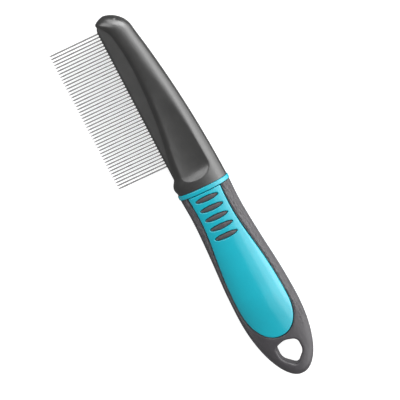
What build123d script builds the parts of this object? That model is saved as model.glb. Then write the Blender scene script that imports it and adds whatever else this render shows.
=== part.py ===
"""Flea comb: fine steel pins in a two-shell head, plugged into a soft two-colour handle.

The comb lies flat with its front face up. +X runs from the hanging loop to the tip of the head,
the pins point to +Y, and +Z is the front. The origin is under the middle of the whole comb, on
the surface that it lies on. All sizes are in millimetres.

Inside the file, places are counted from the joint: the middle of the handle's end face, where
the collar and the head begin. The handle is at negative x, the head at positive x.
"""

import os
from math import cos, pi, radians, sqrt

from build123d import *

# ---- Handle ------------------------------------------------------------------------------
HANDLE_LENGTH = 108.5
BELLY_HALF_WIDTH = 16.4
BELLY_HALF_DEPTH = 8.8
NECK_HALF_WIDTH = 13.4
NECK_HALF_DEPTH = 6.7
NECK_FLARE = 0.3  # the neck widens by this much again at the collar
NECK_LENGTH = 10.0  # from the collar to the neck's waist
ROUND_END = 38.5  # the belly's widest place, from the loop's end
DEEPEST = 50.0  # the belly's deepest place, from the loop's end
FLAT_END = 12.0  # where the belly has thinned down to the loop, from the loop's end
LOOP_HALF_DEPTH = 3.6
END_FLAT = 0.2  # the round end is cut off this far from its point
TAIL_OFFSET = 1.4  # the loop's end is this far off the neck's line, away from the pins
FULLNESS = 0.63  # of a rounded cross-section: 0.55 is an ellipse, 1 a rectangle
SLEEVE_WALL = 3.0
STATION_GAP = 1.0  # the least distance between the cross-sections that shape the handle

# ---- Panels and finger ribs --------------------------------------------------------------
POCKET_DEPTH = 2.0
PANEL_RISE = 0.3
PANEL_HALF_WIDTH = 13.0
PANEL_WAIST_HALF_WIDTH = 8.5
PANEL_NECK_HALF_WIDTH = 9.0
PANEL_WAIST = 11.4  # from the collar
PANEL_ROUND = 20.0  # the length of the panel's round end
PANEL_FULLNESS = 0.6  # of that round end: 0.55 is an ellipse
PANEL_MARGIN = 23.4  # from the panel's end to the loop's end
PANEL_COLLAR_GAP = 0.4
GROOVE = 0.5
RIB_COUNT = 5
RIB_PITCH = 5.35
FIRST_RIB = 3.6  # from the collar
RIB_LENGTH = 12.2
RIB_WIDTH = 2.3
RIB_RISE = 0.4  # above the panel
WINDOW_GAP = 0.3

# ---- Hanging loop ------------------------------------------------------------------------
HOLE_WALL = 6.3  # between the hole and the loop's end
HOLE_LENGTH = 13.8
HOLE_WIDTH = 12.2
HOLE_TIP_RADIUS = 1.9
HOLE_CORNER = 3.1
HOLE_BULGE = 0.8  # how far the wide end curves out past its corners
HOLE_EDGE_RADIUS = 1.0

# ---- Collar ------------------------------------------------------------------------------
COLLAR_WIDTH = 2.3
COLLAR_RISE = 0.4
COLLAR_EDGE_RADIUS = 0.4

# ---- Head --------------------------------------------------------------------------------
SPINE_DROP = 10.4  # how far the spine's edge comes down along the head
SPINE_START_SLOPE = 0.11  # the share of that drop which is a straight slope
SPINE_THINNING = 1.7  # how much less deep the spine is at the tip
JAW_EDGE = 11.6  # the edge that the pins come out of, from the handle's line
JAW_HALF_DEPTH = 3.1
JAW_EDGE_RADIUS = 1.1
JAW_START = 6.0  # from the collar's far side
JAW_END_INSET = 2.4
TIP_UPPER_RADIUS = 13.0
TIP_LOWER_RADIUS = 4.0
TIP_NOSE_RADIUS = 8.0
SCOOP_DEPTH = 1.9
SCOOP_RADIUS = 55.0
SCOOP_START = 3.2  # from the collar's far side
SCOOP_WALL = 8.5
SCOOP_LENGTH = 72.0
SCOOP_OFFSET = 1.2  # the scoop's middle, off the handle's line towards the spine's edge
SCOOP_LIP = 1.0  # the steep wall is drawn from this far above the spine
SCOOP_FADE = 0.2  # and the far end runs out this far above it
PEG_RADIUS = 1.6
PEG_LENGTH = 2.6
PEG_SPACING = 27.0
PEG_COUNT = 3
FIRST_PEG = 10.5  # from the collar's far side
PEG_INSET = 7.5  # the pegs' middles, in from the spine's edge

# ---- Pins and their bar ------------------------------------------------------------------
PIN_COUNT = 46
PIN_PITCH = 1.7
PIN_RADIUS = 0.4
PIN_REACH = 28.2  # outside the head
PIN_ROOT = 4.6  # inside the bar
PIN_TAPER = 1.8
PIN_TIP_RADIUS = 0.16
FIRST_PIN = 16.3  # from the collar's far side
LAST_PIN = 7.2  # from the tip
BAR_END = 1.4  # the bar's length past the middles of the outer pins
BAR_HEIGHT = 6.0
BAR_HALF_DEPTH = 1.8
NOSE_HEIGHT = 1.5
NOSE_HALF_DEPTH = 1.0

# ---- Core and tang -----------------------------------------------------------------------
CORE_MARGIN = 27.0  # from the core's end to the loop's end
TANG_LENGTH = 32.0
TANG_HALF_WIDTH = 6.5
TANG_HALF_DEPTH = 1.9
SOCKET_BOTTOM = 1.0  # the gap past the tang's end

# ---- Fits: the gap all round --------------------------------------------------------------
BOND = 0.04
SLIP = 0.12
PIN_FIT = 0.02

# ---- Places that follow ------------------------------------------------------------------
FRONT_HEIGHT = BELLY_HALF_DEPTH + PANEL_RISE
HEAD_LENGTH = FIRST_PIN + (PIN_COUNT - 1) * PIN_PITCH + LAST_PIN
NECK_EDGE = NECK_HALF_WIDTH + NECK_FLARE
THROUGH = 2 * FRONT_HEIGHT  # far enough to pass the front
LOOP_END = -HANDLE_LENGTH
HEAD_START = COLLAR_WIDTH
TIP = HEAD_START + HEAD_LENGTH
BELLY = LOOP_END + ROUND_END
PIN_SIDE = JAW_EDGE + PIN_REACH
PALM_SIDE = -BELLY_HALF_WIDTH - TAIL_OFFSET * BELLY / LOOP_END
JOINT = Vector(-(LOOP_END + TIP) / 2, -(PIN_SIDE + PALM_SIDE) / 2, FRONT_HEIGHT)
MIDDLE = Plane(origin=JOINT)
PIN_PLACES = [HEAD_START + FIRST_PIN + n * PIN_PITCH for n in range(PIN_COUNT)]
PIN_ROW_MIDDLE = (PIN_PLACES[0] + PIN_PLACES[-1]) / 2
BAR_HALF_LENGTH = (PIN_PLACES[-1] - PIN_PLACES[0]) / 2 + BAR_END
RIB_PLACES = [-FIRST_RIB - n * RIB_PITCH for n in range(RIB_COUNT)]


def across(x, y=0.0):
    """The cross-section plane at x, centred on y: its own x is the comb's +Y, its own y is +Z."""
    return Plane(origin=JOINT + Vector(x, y, 0), x_dir=(0, 1, 0), z_dir=(1, 0, 0))


def ease(share):
    """A smooth step from 0 to 1 as share goes from 0 to 1."""
    return (1 - cos(pi * min(max(share, 0), 1))) / 2


def round_off(distance, radius):
    """How much of the full size is left at a distance from a round end."""
    missing = max(0, 1 - distance / radius)
    return sqrt(1 - missing**2)


def handle_line(x):
    """The handle's middle line leans away from the pins towards the loop."""
    return -TAIL_OFFSET * x / LOOP_END


def handle_half_width(x):
    if x <= BELLY:
        return BELLY_HALF_WIDTH * round_off(x - LOOP_END, ROUND_END)
    swell = ease((-x - NECK_LENGTH) / (-BELLY - NECK_LENGTH))
    flare = NECK_FLARE * (1 - ease(-x / NECK_LENGTH))
    return NECK_HALF_WIDTH + (BELLY_HALF_WIDTH - NECK_HALF_WIDTH) * swell + flare


def handle_half_depth(x):
    from_end = x - LOOP_END
    if from_end >= DEEPEST:
        swell = ease((-x - NECK_LENGTH / 2) / (HANDLE_LENGTH - DEEPEST - NECK_LENGTH / 2))
        return NECK_HALF_DEPTH + (BELLY_HALF_DEPTH - NECK_HALF_DEPTH) * swell
    swell = ease((from_end - FLAT_END) / (DEEPEST - FLAT_END))
    depth = LOOP_HALF_DEPTH + (BELLY_HALF_DEPTH - LOOP_HALF_DEPTH) * swell
    return depth * round_off(from_end, LOOP_HALF_DEPTH)


def rounded_section(x, middle, half_width, half_depth):
    """A rounded cross-section at x, fuller than an ellipse."""
    with BuildSketch(across(x, middle)) as section:
        with BuildLine():
            Bezier(
                (half_width, 0),
                (half_width, FULLNESS * half_depth),
                (FULLNESS * half_width, half_depth),
                (0, half_depth),
            )
            mirror(about=Plane.YZ)
            mirror(about=Plane.XZ)
        make_face()
    return section.sketch


def handle_stations(start, end):
    """Cross-section places from the loop's round end to the neck, closest together at the end."""
    round_steps = [LOOP_END + ROUND_END * (1 - cos(radians(a))) for a in (6, 14, 24, 36, 50, 68, 90)]
    neck_steps = [BELLY * share for share in (0.82, 0.64, 0.46, 0.3, 0.14, 0.06, 0)]
    inner = [x for x in round_steps + neck_steps if start + STATION_GAP < x < end - STATION_GAP]
    return [start, *inner, end]


def handle_body(inset_width, inset_depth, start=LOOP_END + END_FLAT, end=0.0):
    """The handle's shape, made smaller by the insets, between two places along it."""
    sections = []
    for x in handle_stations(start, end):
        half_width = handle_half_width(x) - inset_width
        half_depth = handle_half_depth(x) - inset_depth
        sections.append(rounded_section(x, handle_line(x), half_width, half_depth))
    with BuildPart() as body:
        loft(sections)
    return body.part


def panel_outline(outset):
    """The panel's outline in the middle plane, made larger all round by outset."""
    far = LOOP_END + PANEL_MARGIN - outset
    widest = LOOP_END + PANEL_MARGIN + PANEL_ROUND
    near = outset - PANEL_COLLAR_GAP
    waist = -PANEL_WAIST
    stretch = waist - widest
    half = PANEL_HALF_WIDTH + outset
    waist_half = PANEL_WAIST_HALF_WIDTH + outset
    neck_half = PANEL_NECK_HALF_WIDTH + outset

    def point(x, off_line):
        return (x, handle_line(x) + off_line)

    with BuildSketch(MIDDLE) as outline:
        with BuildLine():
            for side in (1, -1):
                Bezier(
                    point(near, side * neck_half),
                    point(waist / 2, side * waist_half),
                    point(waist, side * waist_half),
                )
                Bezier(
                    point(waist, side * waist_half),
                    point(waist - stretch / 3, side * waist_half),
                    point(widest + stretch / 2, side * half),
                    point(widest, side * half),
                )
                Bezier(
                    point(widest, side * half),
                    point(widest - PANEL_FULLNESS * PANEL_ROUND, side * half),
                    point(far, side * PANEL_FULLNESS * half),
                    point(far, 0),
                )
            Line(point(near, neck_half), point(near, -neck_half))
        make_face()
    return outline.sketch


def rib_outlines(outset):
    with BuildSketch(MIDDLE) as outlines:
        for x in RIB_PLACES:
            with Locations((x, handle_line(x))):
                Ellipse(RIB_WIDTH / 2 + outset, RIB_LENGTH / 2 + outset)
    return outlines.sketch


def hole_outline():
    """The hanging hole: a rounded triangle, its narrow end towards the loop's end."""
    start = LOOP_END + HOLE_WALL
    end = start + HOLE_LENGTH
    corner_x = end - HOLE_BULGE - HOLE_CORNER
    corner_y = HOLE_WIDTH / 2 - HOLE_CORNER
    with BuildSketch(MIDDLE) as outline:
        with Locations((start + HOLE_TIP_RADIUS, handle_line(start))):
            Circle(HOLE_TIP_RADIUS)
        with Locations((0, handle_line(corner_x))):
            with Locations((corner_x, corner_y), (corner_x, -corner_y)):
                Circle(HOLE_CORNER)
            with Locations((end - HOLE_WIDTH / 2, 0)):
                Circle(HOLE_WIDTH / 2)
        make_hull(outline.edges())
    return outline.sketch


def spine_edge(along):
    """How far the head's back edge, away from the pins, is from the handle's line."""
    share = along / HEAD_LENGTH
    drop = SPINE_DROP * (SPINE_START_SLOPE * share + (1 - SPINE_START_SLOPE) * share**2)
    edge = NECK_EDGE - drop
    round_start = HEAD_LENGTH - TIP_UPPER_RADIUS
    if along <= round_start:
        return edge
    past = min(1, (along - round_start) / TIP_UPPER_RADIUS)
    corner = spine_edge(round_start) - TIP_UPPER_RADIUS * (1 - sqrt(1 - past**2))
    return min(edge, corner)


def spine_depth(along):
    """Half the spine's depth, which thins along the head and rounds off at the tip."""
    depth = NECK_HALF_DEPTH - SPINE_THINNING * (along / HEAD_LENGTH)
    return depth * round_off(HEAD_LENGTH - along, TIP_NOSE_RADIUS)


# The spine's edge on the pin side, as shares of the head's length. Next to the collar it comes in
# from the neck's edge to the jaw's edge: the second number is the share of that step which is
# still to come.
NECK_STEP = [(0.0, 1.0), (0.025, 1.2), (0.052, 1.1), (0.07, 0.6), (0.087, 0.1)]
# After that it arches away from the jaw's edge and comes back to it in the tip: the second number
# is its distance from the jaw's edge.
JAW_ARCH = [
    (0.125, 0.5),
    (0.19, 1.4),
    (0.3, 3.6),
    (0.43, 5.5),
    (0.57, 6.7),
    (0.7, 7.1),
    (0.8, 6.6),
    (0.87, 5.6),
    (0.915, 4.4),
    (0.935, 3.2),
    (0.952, 1.5),
    (0.964, 0.4),
    (0.975, 0.4),
    (0.984, 1.4),
    (0.992, 3.0),
    (0.996, 4.2),
    (0.999, 5.2),
]


def spine_body():
    """The head's thick rounded spine, from the collar to the tip."""
    pin_side = [(share, JAW_EDGE + (NECK_EDGE - JAW_EDGE) * left) for share, left in NECK_STEP]
    pin_side += [(share, JAW_EDGE - distance) for share, distance in JAW_ARCH]
    sections = []
    for share, high in pin_side:
        along = share * HEAD_LENGTH
        low = -spine_edge(along)
        x = HEAD_START + along
        sections.append(rounded_section(x, (high + low) / 2, (high - low) / 2, spine_depth(along)))
    with BuildPart() as body:
        loft(sections)
    return body.part


def scoop_cutter():
    """A long shallow hollow for the finger: steep next to the collar, fading along the spine."""
    start = HEAD_START + SCOOP_START
    deepest = start + SCOOP_WALL
    end = start + SCOOP_LENGTH
    top = SCOOP_RADIUS + NECK_HALF_DEPTH
    lip = NECK_HALF_DEPTH + SCOOP_LIP
    fade = spine_depth(end - HEAD_START) + SCOOP_FADE
    deep = spine_depth(deepest - HEAD_START) - SCOOP_DEPTH
    side_plane = Plane(origin=JOINT - Vector(0, SCOOP_OFFSET, 0), x_dir=(1, 0, 0), z_dir=(0, -1, 0))
    with BuildPart() as cutter:
        with BuildSketch(side_plane):
            with BuildLine():
                Bezier(
                    (start, lip),
                    (start + SCOOP_WALL / 3, (lip + 3 * deep) / 4),
                    (start + 2 * SCOOP_WALL / 3, deep),
                    (deepest, deep),
                )
                Bezier((deepest, deep), ((deepest + end) / 2, deep), (end, fade))
                Polyline((end, fade), (end, top), (start, top), (start, lip))
            make_face()
        revolve(axis=Axis(JOINT + Vector(0, -SCOOP_OFFSET, top), (1, 0, 0)))
    return cutter.part


def peg_places():
    """Places of the locating pegs, along the spine."""
    alongs = [FIRST_PEG + n * PEG_SPACING for n in range(PEG_COUNT)]
    return [(HEAD_START + along, PEG_INSET - spine_edge(along)) for along in alongs]


def bar_outline(gap):
    """The pin bar's cross-section: a block with a narrow nose that fills the jaw's edge."""
    from_edge = (Align.MAX, Align.CENTER)
    with BuildSketch(across(PIN_ROW_MIDDLE)) as outline:
        with Locations((JAW_EDGE - NOSE_HEIGHT + gap, 0)):
            Rectangle(BAR_HEIGHT - NOSE_HEIGHT + 2 * gap, 2 * (BAR_HALF_DEPTH + gap), align=from_edge)
        with Locations((JAW_EDGE, 0)):
            Rectangle(NOSE_HEIGHT, 2 * (NOSE_HALF_DEPTH + gap), align=from_edge)
    return outline.sketch


def head_blank():
    """Both halves of the head as one solid, with the tang, before they are parted."""
    jaw_end = TIP - JAW_END_INSET
    jaw_plane = MIDDLE.offset(-JAW_HALF_DEPTH)
    with BuildPart() as blank:
        with BuildSketch(jaw_plane) as jaw:
            with BuildLine():
                Polyline(
                    (HEAD_START + JAW_START, 0),
                    (HEAD_START + JAW_START, JAW_EDGE),
                    (jaw_end, JAW_EDGE),
                    (jaw_end, 0),
                    close=True,
                )
            make_face()
            fillet(jaw.vertices().group_by(Axis.Y)[-1].sort_by(Axis.X)[-1], TIP_LOWER_RADIUS)
        extrude(amount=2 * JAW_HALF_DEPTH)
        rims = blank.faces().filter_by(Axis.Z).edges()
        pin_side_rims = rims.filter_by(lambda edge: edge.center().Y > JOINT.Y + TIP_LOWER_RADIUS)
        fillet(pin_side_rims, JAW_EDGE_RADIUS)
        add(spine_body())
        with BuildSketch(across(HEAD_START)):
            Rectangle(2 * TANG_HALF_WIDTH, 2 * TANG_HALF_DEPTH)
        extrude(amount=-(TANG_LENGTH + COLLAR_WIDTH))
        add(scoop_cutter(), mode=Mode.SUBTRACT)
        mirror(scoop_cutter(), about=MIDDLE, mode=Mode.SUBTRACT)
        extrude(bar_outline(BOND), amount=BAR_HALF_LENGTH + BOND, both=True, mode=Mode.SUBTRACT)
    return blank.part


def over_pocket_floor(outset, floor_depth):
    """What lies inside the panel's outline and above the floor of the front pocket."""
    with BuildPart() as space:
        extrude(panel_outline(outset), amount=THROUGH)
        add(handle_body(-GROOVE, floor_depth, LOOP_END + GROOVE, GROOVE), mode=Mode.SUBTRACT)
    return space.part


def grip_panel():
    """The front panel: a skin of the handle's own shape, with a slot for each finger rib."""
    with BuildPart() as panel:
        add(over_pocket_floor(0, POCKET_DEPTH - BOND))
        add(handle_body(0, -PANEL_RISE), mode=Mode.INTERSECT)
        extrude(rib_outlines(WINDOW_GAP), amount=THROUGH, mode=Mode.SUBTRACT)
    return panel.part


def socket(gap):
    """The tang's slot in the core, open at the handle's end face."""
    with BuildPart() as slot:
        with BuildSketch(across(0)):
            Rectangle(2 * (TANG_HALF_WIDTH + gap), 2 * (TANG_HALF_DEPTH + gap))
        extrude(amount=-(TANG_LENGTH + SOCKET_BOTTOM))
    return slot.part


def core_body(outset):
    """The core's shape: the handle's, with the sleeve's wall taken off."""
    start = LOOP_END + CORE_MARGIN
    return handle_body(SLEEVE_WALL - outset, SLEEVE_WALL - outset, start - outset, 0)


os.makedirs("parts", exist_ok=True)


def keep(builder, name):
    builder.part.label = name
    export_step(builder.part, f"parts/{name}.step")


# ---- Handle core: the hard inside of the handle, with the tang's socket --------------------
with BuildPart() as handle_core:
    add(core_body(0))
    add(socket(SLIP), mode=Mode.SUBTRACT)
keep(handle_core, "handle_core")

# ---- Grip sleeve: the soft outside, its pockets, finger ribs and hanging hole ---------------
with BuildPart() as grip_sleeve:
    add(handle_body(0, 0))
    front_pocket = over_pocket_floor(GROOVE, POCKET_DEPTH)
    add(front_pocket, mode=Mode.SUBTRACT)
    mirror(front_pocket, about=MIDDLE, mode=Mode.SUBTRACT)
    with BuildPart(mode=Mode.PRIVATE) as ribs:
        extrude(rib_outlines(0), amount=THROUGH, both=True)
        add(handle_body(0, -PANEL_RISE - RIB_RISE), mode=Mode.INTERSECT)
    add(ribs.part)
    extrude(hole_outline(), amount=THROUGH, both=True, mode=Mode.SUBTRACT)
    hole_edges = grip_sleeve.edges(Select.LAST)
    outer_rims = hole_edges.filter_by(lambda edge: abs(edge.center().Z - JOINT.Z) > HOLE_EDGE_RADIUS)
    fillet(outer_rims, HOLE_EDGE_RADIUS)
    add(core_body(BOND), mode=Mode.SUBTRACT)
keep(grip_sleeve, "grip_sleeve")

# ---- Grip panels: the hard coloured insets -------------------------------------------------
with BuildPart() as grip_panel_front:
    add(grip_panel())
keep(grip_panel_front, "grip_panel_front")

with BuildPart() as grip_panel_back:
    mirror(grip_panel_front.part, about=MIDDLE)
keep(grip_panel_back, "grip_panel_back")

# ---- Collar ring: threaded over the tang, between the handle and the head ------------------
with BuildPart() as collar_ring:
    extrude(
        rounded_section(0, 0, NECK_EDGE + COLLAR_RISE, NECK_HALF_DEPTH + COLLAR_RISE),
        amount=COLLAR_WIDTH,
    )
    fillet(collar_ring.faces().filter_by(Axis.X).edges(), COLLAR_EDGE_RADIUS)
    with BuildSketch(across(0)):
        Rectangle(2 * (TANG_HALF_WIDTH + SLIP), 2 * (TANG_HALF_DEPTH + SLIP))
    extrude(amount=COLLAR_WIDTH, mode=Mode.SUBTRACT)
keep(collar_ring, "collar_ring")

# ---- Head shells: two halves that meet on the middle plane and close over the pin bar ------
whole_head = head_blank()

with BuildPart() as head_front_shell:
    add(whole_head)
    split(bisect_by=MIDDLE, keep=Keep.TOP)
    with BuildSketch(MIDDLE):
        with Locations(*peg_places()):
            Circle(PEG_RADIUS)
    extrude(amount=-PEG_LENGTH)
keep(head_front_shell, "head_front_shell")

with BuildPart() as head_back_shell:
    add(whole_head)
    split(bisect_by=MIDDLE, keep=Keep.BOTTOM)
    with BuildSketch(MIDDLE):
        with Locations(*peg_places()):
            Circle(PEG_RADIUS + SLIP)
    extrude(amount=-(PEG_LENGTH + SLIP), mode=Mode.SUBTRACT)
keep(head_back_shell, "head_back_shell")

# ---- Pin bar: holds the pins at their pitch -------------------------------------------------
with BuildPart() as pin_bar:
    extrude(bar_outline(0), amount=BAR_HALF_LENGTH, both=True)
    nose_face = Plane(origin=JOINT + Vector(0, JAW_EDGE, 0), x_dir=(1, 0, 0), z_dir=(0, 1, 0))
    with BuildSketch(nose_face):
        with Locations(*[(x, 0) for x in PIN_PLACES]):
            Circle(PIN_RADIUS + PIN_FIT)
    extrude(amount=-(PIN_ROOT + PIN_FIT), mode=Mode.SUBTRACT)
keep(pin_bar, "pin_bar")

# ---- Pins: round wire with a slim rounded point --------------------------------------------
for number, place in enumerate(PIN_PLACES, start=1):
    pin_plane = Plane(origin=JOINT + Vector(place, JAW_EDGE, 0))
    with BuildPart() as pin:
        with BuildSketch(pin_plane):
            with BuildLine():
                Polyline(
                    (0, -PIN_ROOT),
                    (PIN_RADIUS, -PIN_ROOT),
                    (PIN_RADIUS, PIN_REACH - PIN_TAPER),
                    (PIN_TIP_RADIUS, PIN_REACH - PIN_TIP_RADIUS),
                )
                tip_start = (PIN_TIP_RADIUS, PIN_REACH - PIN_TIP_RADIUS)
                RadiusArc(tip_start, (0, PIN_REACH), -PIN_TIP_RADIUS)
                Line((0, PIN_REACH), (0, -PIN_ROOT))
            make_face()
        revolve(axis=Axis(JOINT + Vector(place, 0, 0), (0, 1, 0)))
    keep(pin, f"pin_{number:02d}")
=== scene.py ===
import math

import bmesh
import bpy
import numpy as np
from mathutils import Matrix, Vector


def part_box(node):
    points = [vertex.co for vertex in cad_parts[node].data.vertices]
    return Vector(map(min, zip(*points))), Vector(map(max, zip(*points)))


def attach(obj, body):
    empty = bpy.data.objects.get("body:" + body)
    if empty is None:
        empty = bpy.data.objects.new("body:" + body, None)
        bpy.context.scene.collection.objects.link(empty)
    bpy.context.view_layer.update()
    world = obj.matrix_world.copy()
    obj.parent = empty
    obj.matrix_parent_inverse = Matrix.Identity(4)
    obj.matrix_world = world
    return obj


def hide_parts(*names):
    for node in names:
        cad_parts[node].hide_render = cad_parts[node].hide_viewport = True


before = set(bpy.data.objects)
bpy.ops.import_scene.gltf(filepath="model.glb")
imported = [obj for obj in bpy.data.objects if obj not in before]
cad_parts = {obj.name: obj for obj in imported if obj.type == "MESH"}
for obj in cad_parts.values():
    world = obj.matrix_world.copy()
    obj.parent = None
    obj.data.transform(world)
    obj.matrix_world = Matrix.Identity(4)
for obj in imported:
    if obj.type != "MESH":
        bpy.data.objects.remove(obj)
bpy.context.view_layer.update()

# The comb lies face up: +X runs from the hanging loop to the tip of the head, the pins point to +Y
# and +Z is the front. Everything is in metres.

MM = 0.001

# ---- Moulded pieces ------------------------------------------------------------------------------
# Each is remade as one skin on a grid of this size, and its edges are rounded in this many steps.
HEAD_GRID = 0.30 * MM
HEAD_ROUNDING = 6
SLEEVE_GRID = 0.42 * MM
SLEEVE_ROUNDING = 4
PANEL_GRID = 0.28 * MM
PANEL_ROUNDING = 4
ROUNDING_FACTOR = 0.5

# ---- Crown of the head ---------------------------------------------------------------------------
CROWN_ROUNDING = 260  # extra steps of rounding for the crown
CROWN_START = 28 * MM  # along the head, from the joint, where they begin to count
CROWN_FULL = 62 * MM  # and where they count in full
CROWN_LOW = 3.2 * MM  # how high over the middle plane they begin to count
CROWN_HIGH = 4.4 * MM  # and where they count in full
CROWN_SIDE = 2 * MM  # how far past the joint's middle, towards the pins, they reach
CROWN_BLEND = 3 * MM  # they fade out over this width, so that the crease at the jaw stays sharp

# ---- Sleeve --------------------------------------------------------------------------------------
SEAM_DEPTH = 0.40 * MM  # a fine groove edges the grained faces
SEAM_HALF_WIDTH = 0.6 * MM
SEAM_SHARE = 0.42  # where it runs, as a share of the handle's half depth
SIDE_GRAIN_AND_SHADE = 0.35  # how much of the grain is left on the sides, between the two grooves; their colour is darker by as much, a painted shade
GRAIN_SLOPE = 0.3  # faces that lean less than this are smooth
SMOOTH_LOOP = 18 * MM  # the loop is smooth up to here, from its end
GRAIN_START = 30 * MM  # and from here on, groove and grain are there in full
DEPTH_STEP = 3 * MM  # how far apart along the handle its depth is measured

# ---- Bosses: the little cone of plastic round each pin's root ------------------------------------
BOSS_LENGTH = 0.8 * MM
BOSS_BURIED = BOSS_LENGTH / 4  # the part of it that is inside the bar
BOSS_BASE_RADIUS = 0.80 * MM
BOSS_TIP_RADIUS = 0.48 * MM
BOSS_SIDES = 24

# ---- Patterns of the materials -------------------------------------------------------------------
CLOUD_SIZE = 9 * MM  # satin plastic: faint clouds in its colour
CLOUD_RANGE = (0.35, 0.65)
WEAR_SIZE = 2.5 * MM  # patches of more and of less gloss
WEAR_GLOSSIER = 0.03
WEAR_DULLER = 0.05
SPARK_SIZE = 0.35 * MM  # the fine texture of a spark-cut mould
SPARK_HEIGHT = 0.008 * MM
WRINKLE_SIZE = 1.2 * MM  # rubber: the cells of its leathery grain
PORE_SIZE = 0.6 * MM
PORE_SHARE = 0.9  # how high the pores are, next to the wrinkles
GRAIN_STRETCH = (0.55, 1.0, 1.0)  # the grain is drawn out along the handle
GRAIN_HEIGHT = 0.7 * MM
GRAIN_TRACE = 0.08  # how much of the grain is left where the sleeve is smooth
GRAIN_LOW = 0.5  # the grain's hollows lie below this height and are painted in shade
GRAIN_TOP = 1.1
PAINTED_HOLLOW_SHADE = 0.15  # how much of the lighter colour the hollows keep: painted shade in the grain's hollows
RUBBING_SIZE = 3 * MM  # patches of more and of less gloss
DRAWN_SIZE = 0.25 * MM  # steel: fine lines along the wire
DRAWN_STRETCH = (1.0, 0.05, 1.0)
DRAWN_HEIGHT = 0.004 * MM
PAPER_CLOUD_SIZE = 60 * MM
MIDDLE_RANGE = (0.3, 0.7)  # where most values of a noise lie

# ---- Camera --------------------------------------------------------------------------------------
TOWARDS_CAMERA = Vector((0.21, -0.20, 0.957)).normalized()
PICTURE_TILT = math.radians(62.51)  # the comb's length, up from the picture's horizontal
CAMERA_DISTANCE = 3.0
PICTURE_WIDTH = 0.2022  # as wide as what the camera sees at the joint
SENSOR = 36.0  # in millimetres, as the camera's own values are
AIM = Vector((-0.0044, 0.0048, 0.0))  # the picture's middle, from the joint of head and handle

# ---- Studio --------------------------------------------------------------------------------------
WORLD_STRENGTH = 0.13
FLOOR_HALF_SIZE = 3.0
FLOOR_GLOW = 0.85
# Each softbox's offset from the joint, its width, its height and its power in watts. The three keys
# stand on the spine's side and overlap, weaker upwards, so that round surfaces shade softly.
SOFTBOXES = {
    "key_low": (Vector((-0.05, -0.72, 0.16)), 1.7, 1.25, 7.8),
    "key_middle": (Vector((-0.05, -0.57, 0.51)), 1.7, 1.0, 4.2),
    "key_high": (Vector((-0.05, -0.41, 0.65)), 1.7, 1.0, 2.6),
    "tip_light": (Vector((0.55, -0.32, 0.5)), 0.8, 0.5, 3.2),
    "scoop_light": (Vector((0.40, 0.30, 0.62)), 0.45, 0.45, 1.2),
}

# ---- Places --------------------------------------------------------------------------------------
collar_low, collar_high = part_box("collar_ring")
sleeve_low, sleeve_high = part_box("grip_sleeve")
JOINT = Vector((collar_low.x, (collar_low.y + collar_high.y) / 2, (collar_low.z + collar_high.z) / 2))
MID_PLANE = JOINT.z


# ---- Building blocks ------------------------------------------------------------------------------
def add_object(name, mesh, material):
    """A new object in the scene, with one material."""
    piece = bpy.data.objects.new(name, mesh)
    bpy.context.scene.collection.objects.link(piece)
    mesh.materials.clear()
    mesh.materials.append(material)
    return piece


def stand_for(piece, nodes):
    """The piece rides on the comb and takes the place of its CAD nodes."""
    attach(piece, "root")
    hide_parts(*nodes)


def apply_modifiers(piece):
    """Works the piece's modifiers into its mesh."""
    graph = bpy.context.evaluated_depsgraph_get()
    mesh = bpy.data.meshes.new_from_object(piece.evaluated_get(graph))
    piece.modifiers.clear()
    old = piece.data
    piece.data = mesh
    bpy.data.meshes.remove(old)


def moulded(node, name, material, grid, rounding):
    """A CAD node remade as one even skin with softly rounded edges, as a mould leaves them."""
    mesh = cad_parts[node].data.copy()
    piece = add_object(name, mesh, material)
    remesh = piece.modifiers.new("skin", "REMESH")
    remesh.mode = "VOXEL"
    remesh.voxel_size = grid
    remesh.use_smooth_shade = True
    soften = piece.modifiers.new("soften", "SMOOTH")
    soften.factor = ROUNDING_FACTOR
    soften.iterations = rounding
    apply_modifiers(piece)
    stand_for(piece, [node])
    return piece


def coordinates(mesh):
    """The mesh's vertices, one row each."""
    points = np.empty(len(mesh.vertices) * 3)
    mesh.vertices.foreach_get("co", points)
    return points.reshape(-1, 3)


def normals(mesh):
    """The outward direction at each of the mesh's vertices."""
    directions = np.empty(len(mesh.vertices) * 3)
    mesh.vertices.foreach_get("normal", directions)
    return directions.reshape(-1, 3)


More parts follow.
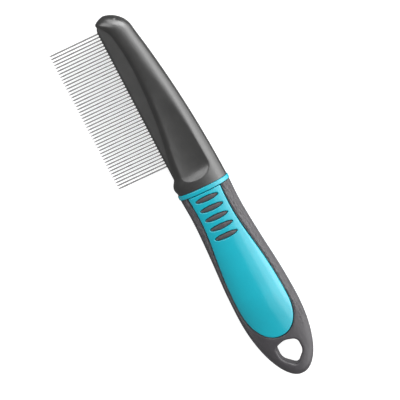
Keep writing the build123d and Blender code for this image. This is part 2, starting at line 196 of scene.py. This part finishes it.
# ---- Materials ------------------------------------------------------------------------------------
class Recipe:
    """A material's node tree, with short ways to add the nodes that the materials share."""

    def __init__(self, name, colour, roughness):
        self.material = bpy.data.materials.new(name)
        self.material.use_nodes = True
        self.nodes = self.material.node_tree.nodes
        self.links = self.material.node_tree.links
        self.shader = self.nodes["Principled BSDF"]
        self.shader.inputs["Base Color"].default_value = (*colour, 1)
        self.shader.inputs["Roughness"].default_value = roughness
        self.place = self.nodes.new("ShaderNodeTexCoord").outputs["Object"]

    def link(self, start, end):
        self.links.new(start, end)

    def stretched(self, factors):
        """The place, with a pattern's blotches drawn out along the axes whose factor is under 1."""
        mapping = self.nodes.new("ShaderNodeMapping")
        mapping.inputs["Scale"].default_value = factors
        self.link(self.place, mapping.inputs["Vector"])
        return mapping.outputs["Vector"]

    def noise(self, size, detail=3.0, place=None):
        """Noise whose blotches are about size metres across."""
        noise = self.nodes.new("ShaderNodeTexNoise")
        noise.inputs["Scale"].default_value = 1 / size
        noise.inputs["Detail"].default_value = detail
        self.link(place or self.place, noise.inputs["Vector"])
        return noise.outputs["Fac"]

    def cells(self, size, place):
        """Soft cells about size metres across."""
        cells = self.nodes.new("ShaderNodeTexVoronoi")
        cells.feature = "SMOOTH_F1"
        cells.inputs["Scale"].default_value = 1 / size
        self.link(place, cells.inputs["Vector"])
        return cells.outputs["Distance"]

    def ramp(self, value, low, high, source=(0.0, 1.0)):
        """The value, moved from its source range to the one from low to high."""
        ramp = self.nodes.new("ShaderNodeMapRange")
        ramp.inputs["From Min"].default_value = source[0]
        ramp.inputs["From Max"].default_value = source[1]
        ramp.inputs["To Min"].default_value = low
        ramp.inputs["To Max"].default_value = high
        self.link(value, ramp.inputs["Value"])
        return ramp.outputs["Result"]

    def mixed(self, factor, first, second):
        """A colour from the first to the second, as the factor goes from 0 to 1."""
        mix = self.nodes.new("ShaderNodeMix")
        mix.data_type = "RGBA"
        mix.inputs["A"].default_value = (*first, 1)
        mix.inputs["B"].default_value = (*second, 1)
        self.link(factor, mix.inputs["Factor"])
        return mix.outputs["Result"]

    def maths(self, operation, first, second):
        """A sum or product of two values, of which the second may be a plain number."""
        node = self.nodes.new("ShaderNodeMath")
        node.operation = operation
        self.link(first, node.inputs[0])
        if isinstance(second, float):
            node.inputs[1].default_value = second
        else:
            self.link(second, node.inputs[1])
        return node.outputs["Value"]

    def bump(self, height, distance):
        """Relief that is distance metres high where the height is 1."""
        bump = self.nodes.new("ShaderNodeBump")
        bump.inputs["Distance"].default_value = distance
        bump.inputs["Strength"].default_value = 1.0
        self.link(height, bump.inputs["Height"])
        return bump.outputs["Normal"]

    def set(self, socket, value):
        """Gives the shader a value that a pattern varies."""
        self.link(value, self.shader.inputs[socket])

    def fix(self, socket, value):
        """Gives the shader one value all over."""
        self.shader.inputs[socket].default_value = value


def satin_plastic(name, dark, light, sheen_roughness, skin_roughness, skin_ior=1.7, under_gloss=1.0):
    """Moulded plastic under a glossier skin, with faint clouds, a fine texture and patches of wear."""
    recipe = Recipe(name, dark, sheen_roughness)
    cloud = recipe.ramp(recipe.noise(CLOUD_SIZE), 0, 1, CLOUD_RANGE)
    recipe.set("Base Color", recipe.mixed(cloud, dark, light))
    wear = recipe.noise(WEAR_SIZE, detail=5.0)
    glossiest = sheen_roughness - WEAR_GLOSSIER
    dullest = sheen_roughness + WEAR_DULLER
    recipe.set("Roughness", recipe.ramp(wear, glossiest, dullest, MIDDLE_RANGE))
    recipe.set("Normal", recipe.bump(recipe.noise(SPARK_SIZE, detail=4.0), SPARK_HEIGHT))
    recipe.fix("Specular IOR Level", under_gloss)
    recipe.fix("Coat Weight", 1.0)
    recipe.fix("Coat IOR", skin_ior)
    recipe.fix("Coat Roughness", skin_roughness)
    return recipe.material


def leather_rubber():
    """Soft rubber with a fine leathery grain, which fades out towards the hanging loop; painted shade
    darkens the grain's hollows and wherever the grain is faint.
    """
    dark = (0.056, 0.052, 0.058)
    light = (0.104, 0.098, 0.105)
    recipe = Recipe("grip_rubber_grain_and_shade", dark, 0.55)
    mask = recipe.nodes.new("ShaderNodeAttribute")
    mask.attribute_name = "grain"
    grain_and_shade = recipe.ramp(mask.outputs["Fac"], GRAIN_TRACE, 1.0)
    lying = recipe.stretched(GRAIN_STRETCH)
    wrinkles = recipe.cells(WRINKLE_SIZE, lying)
    pores = recipe.noise(PORE_SIZE, detail=5.0, place=lying)
    height = recipe.maths("ADD", wrinkles, recipe.maths("MULTIPLY", pores, PORE_SHARE))
    relief = recipe.maths("MULTIPLY", height, grain_and_shade)
    recipe.set("Normal", recipe.bump(relief, GRAIN_HEIGHT))
    # Painted shade: the colour is darker in the grain's hollows and wherever the grain is faint, such as
    # on the sides, and lighter on the grain's tops.
    raised = recipe.ramp(height, PAINTED_HOLLOW_SHADE, 1, (GRAIN_LOW, GRAIN_TOP))
    recipe.set("Base Color", recipe.mixed(recipe.maths("MULTIPLY", raised, grain_and_shade), dark, light))
    rubbed = recipe.noise(RUBBING_SIZE, detail=4.0)
    recipe.set("Roughness", recipe.ramp(rubbed, 0.38, 0.50, MIDDLE_RANGE))
    recipe.fix("Specular IOR Level", 0.9)
    recipe.fix("Sheen Weight", 0.1)
    recipe.fix("Sheen Roughness", 0.5)
    return recipe.material


def pin_steel():
    """Drawn steel wire, polished along its length."""
    dark = (0.36, 0.36, 0.355)
    light = (0.58, 0.58, 0.575)
    recipe = Recipe("pin_steel", dark, 0.34)
    drawn = recipe.noise(DRAWN_SIZE, detail=4.0, place=recipe.stretched(DRAWN_STRETCH))
    recipe.set("Base Color", recipe.mixed(drawn, dark, light))
    recipe.set("Roughness", recipe.ramp(drawn, 0.22, 0.40, MIDDLE_RANGE))
    recipe.set("Normal", recipe.bump(drawn, DRAWN_HEIGHT))
    recipe.fix("Metallic", 1.0)
    return recipe.material


def floor_paper():
    """The pale studio floor, which glows so that no shadow shows on it."""
    dark = (0.53, 0.53, 0.53)
    light = (0.57, 0.57, 0.57)
    recipe = Recipe("floor_paper", dark, 0.8)
    recipe.set("Base Color", recipe.mixed(recipe.noise(PAPER_CLOUD_SIZE), dark, light))
    recipe.fix("Specular IOR Level", 0.1)
    recipe.fix("Emission Color", (1, 1, 1, 1))
    recipe.fix("Emission Strength", FLOOR_GLOW)
    return recipe.material


HEAD_PLASTIC = satin_plastic(
    "head_plastic_satin",
    dark=(0.025, 0.025, 0.0245),
    light=(0.031, 0.0305, 0.030),
    sheen_roughness=0.34,
    skin_roughness=0.26,
)
BAR_PLASTIC = satin_plastic(
    "bar_plastic_satin",
    dark=(0.020, 0.020, 0.020),
    light=(0.026, 0.026, 0.026),
    sheen_roughness=0.40,
    skin_roughness=0.32,
)
CORE_PLASTIC = satin_plastic(
    "core_plastic_plain",
    dark=(0.30, 0.30, 0.29),
    light=(0.35, 0.35, 0.34),
    sheen_roughness=0.45,
    skin_roughness=0.37,
)
TURQUOISE = satin_plastic(
    "turquoise_gloss",
    dark=(0.0, 0.43, 0.545),
    light=(0.0, 0.445, 0.56),
    sheen_roughness=0.38,
    skin_roughness=0.17,
    skin_ior=1.9,
    under_gloss=0.25,
)
GRIP_RUBBER = leather_rubber()
PIN_STEEL = pin_steel()


# ---- Head ------------------------------------------------------------------------------------------
def round_crown(shell):
    """Rounds the crown of one half of the head, more and more towards the tip."""
    points = coordinates(shell.data)
    along = np.clip((points[:, 0] - JOINT.x - CROWN_START) / (CROWN_FULL - CROWN_START), 0, 1)
    raised = np.clip((np.abs(points[:, 2] - MID_PLANE) - CROWN_LOW) / (CROWN_HIGH - CROWN_LOW), 0, 1)
    spine_side = np.clip((JOINT.y - points[:, 1] + CROWN_SIDE) / CROWN_BLEND, 0, 1)
    crown = shell.vertex_groups.new(name="crown")
    for index, weight in enumerate(along * raised * spine_side):
        if weight > 0:
            crown.add([index], weight, "REPLACE")
    soften = shell.modifiers.new("crown", "SMOOTH")
    soften.factor = ROUNDING_FACTOR
    soften.iterations = CROWN_ROUNDING
    soften.vertex_group = crown.name
    apply_modifiers(shell)
    shell.vertex_groups.clear()


def head_shells():
    """The two halves of the head, each with a rounded crown."""
    for side in ("front", "back"):
        shell = moulded(
            f"head_{side}_shell", f"head_{side}_skin", HEAD_PLASTIC,
            HEAD_GRID, HEAD_ROUNDING,
        )
        round_crown(shell)


# ---- Handle ----------------------------------------------------------------------------------------
def half_depths(x):
    """Half the handle's depth at each x, panels included."""
    stations = np.arange(sleeve_low.x, sleeve_high.x + DEPTH_STEP, DEPTH_STEP)
    deep = np.zeros(len(stations))
    for node in ("grip_sleeve", "grip_panel_front"):
        points = coordinates(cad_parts[node].data)
        nearest = np.rint((points[:, 0] - sleeve_low.x) / DEPTH_STEP).astype(int)
        inside = np.clip(nearest, 0, len(deep) - 1)
        np.maximum.at(deep, inside, points[:, 2] - MID_PLANE)
    return np.interp(x, stations, deep)


def finish_sleeve(mesh):
    """Sinks the fine groove that edges the grained faces, and notes how grained each vertex is, which
    also sets how much painted shade its colour carries.

    The groove runs only where the sleeve faces away from its own middle, so not in the pockets, and both
    groove and grain fade out at the loop.
    """
    points = coordinates(mesh)
    outward = normals(mesh)
    from_loop_end = points[:, 0] - sleeve_low.x
    height = np.abs(points[:, 2] - MID_PLANE)
    seam = SEAM_SHARE * half_depths(points[:, 0])
    middle_y = (sleeve_low.y + sleeve_high.y) / 2
    leaving = (points[:, 1] - middle_y) * outward[:, 1] > 0
    closeness = np.clip(1 - np.abs(height - seam) / SEAM_HALF_WIDTH, 0, 1) * leaving
    grown = np.clip((from_loop_end - SMOOTH_LOOP) / (GRAIN_START - SMOOTH_LOOP), 0, 1)
    sunk = SEAM_DEPTH * closeness**2 * (3 - 2 * closeness) * grown
    points -= outward * sunk[:, None]
    mesh.vertices.foreach_set("co", points.ravel())
    face = np.clip((height - seam) / SEAM_HALF_WIDTH, 0, 1)
    leaning = np.clip(np.abs(outward[:, 1]) / GRAIN_SLOPE - 1, 0, 1)
    # The same share sets the rubber's painted shade, so the sides between the grooves are darker.
    share = grown * leaning * (SIDE_GRAIN_AND_SHADE + (1 - SIDE_GRAIN_AND_SHADE) * face)
    grain = mesh.attributes.new("grain", "FLOAT", "POINT")
    grain.data.foreach_set("value", share.astype(np.float32))
    mesh.update()


def handle():
    """The rubber sleeve and the two turquoise panels in it."""
    sleeve = moulded(
        "grip_sleeve", "grip_sleeve_skin", GRIP_RUBBER, SLEEVE_GRID, SLEEVE_ROUNDING
    )
    finish_sleeve(sleeve.data)
    for side in ("front", "back"):
        moulded(
            f"grip_panel_{side}", f"grip_panel_{side}_skin", TURQUOISE,
            PANEL_GRID, PANEL_ROUNDING,
        )


# ---- Pins ------------------------------------------------------------------------------------------
def add_boss(shape, place):
    """A small cone on the jaw's edge, round one pin's root."""
    turned = Matrix.Rotation(-math.pi / 2, 4, "X")
    bmesh.ops.create_cone(
        shape,
        cap_ends=True,
        segments=BOSS_SIDES,
        radius1=BOSS_BASE_RADIUS,
        radius2=BOSS_TIP_RADIUS,
        depth=BOSS_LENGTH,
        matrix=Matrix.Translation(place) @ turned,
    )


def pin_bar(pin_names):
    """The bar with a boss round each pin's root."""
    shape = bmesh.new()
    shape.from_mesh(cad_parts["pin_bar"].data)
    bar_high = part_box("pin_bar")[1]
    middle_y = bar_high.y + BOSS_LENGTH / 2 - BOSS_BURIED
    for name in pin_names:
        low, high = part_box(name)
        add_boss(shape, Vector(((low.x + high.x) / 2, middle_y, (low.z + high.z) / 2)))
    mesh = bpy.data.meshes.new("pin_bar_with_bosses")
    shape.to_mesh(mesh)
    shape.free()
    piece = add_object("pin_bar_with_bosses", mesh, BAR_PLASTIC)
    stand_for(piece, ["pin_bar"])


def dress(node, material):
    """A CAD node keeps its shape and gets a better material."""
    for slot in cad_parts[node].material_slots:
        slot.material = material


def pins():
    """The steel pins, and the bar that holds them."""
    names = sorted(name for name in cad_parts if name.startswith("pin_") and name != "pin_bar")
    for name in names:
        dress(name, PIN_STEEL)
    pin_bar(names)


# ---- Studio ----------------------------------------------------------------------------------------
def add_camera():
    """The camera, whose up and right follow from the comb's length and its tilt in the picture."""
    along = (Vector((1, 0, 0)) - TOWARDS_CAMERA * TOWARDS_CAMERA.x).normalized()
    across = TOWARDS_CAMERA.cross(along)
    up = math.sin(PICTURE_TILT) * along - math.cos(PICTURE_TILT) * across
    right = -math.cos(PICTURE_TILT) * along - math.sin(PICTURE_TILT) * across
    lens = bpy.data.cameras.new("camera")
    lens.sensor_width = SENSOR
    lens.lens = SENSOR * CAMERA_DISTANCE / PICTURE_WIDTH
    camera = bpy.data.objects.new("camera", lens)
    bpy.context.scene.collection.objects.link(camera)
    pose = Matrix((right, up, TOWARDS_CAMERA)).transposed().to_4x4()
    pose.translation = JOINT + AIM + TOWARDS_CAMERA * CAMERA_DISTANCE
    camera.matrix_world = pose
    bpy.context.scene.camera = camera


def add_softbox(name, offset, width, height, power):
    """A softbox that looks at the comb's joint from an offset to it."""
    light = bpy.data.lights.new(name, "AREA")
    light.shape = "RECTANGLE"
    light.size = width
    light.size_y = height
    light.energy = power
    lamp = bpy.data.objects.new(name, light)
    bpy.context.scene.collection.objects.link(lamp)
    lamp.location = JOINT + offset
    lamp.rotation_euler = (-offset).to_track_quat("-Z", "Y").to_euler()
    lamp.visible_camera = False


def add_floor():
    """The floor, which neither mirrors in the comb nor keeps light from it."""
    mesh = bpy.data.meshes.new("floor")
    shape = bmesh.new()
    bmesh.ops.create_grid(shape, x_segments=2, y_segments=2, size=FLOOR_HALF_SIZE)
    shape.to_mesh(mesh)
    shape.free()
    floor = add_object("floor", mesh, floor_paper())
    floor.visible_glossy = False
    floor.visible_shadow = False


def studio():
    """White surroundings, the floor, the softboxes and the camera."""
    world = bpy.data.worlds.new("studio")
    bpy.context.scene.world = world
    world.use_nodes = True
    background = world.node_tree.nodes["Background"]
    background.inputs["Strength"].default_value = WORLD_STRENGTH
    background.inputs["Color"].default_value = (1, 1, 1, 1)
    bpy.context.scene.view_settings.view_transform = "Standard"
    add_floor()
    for name, (offset, width, height, power) in SOFTBOXES.items():
        add_softbox(name, offset, width, height, power)
    add_camera()


head_shells()
handle()
pins()
dress("collar_ring", TURQUOISE)
dress("handle_core", CORE_PLASTIC)
studio()
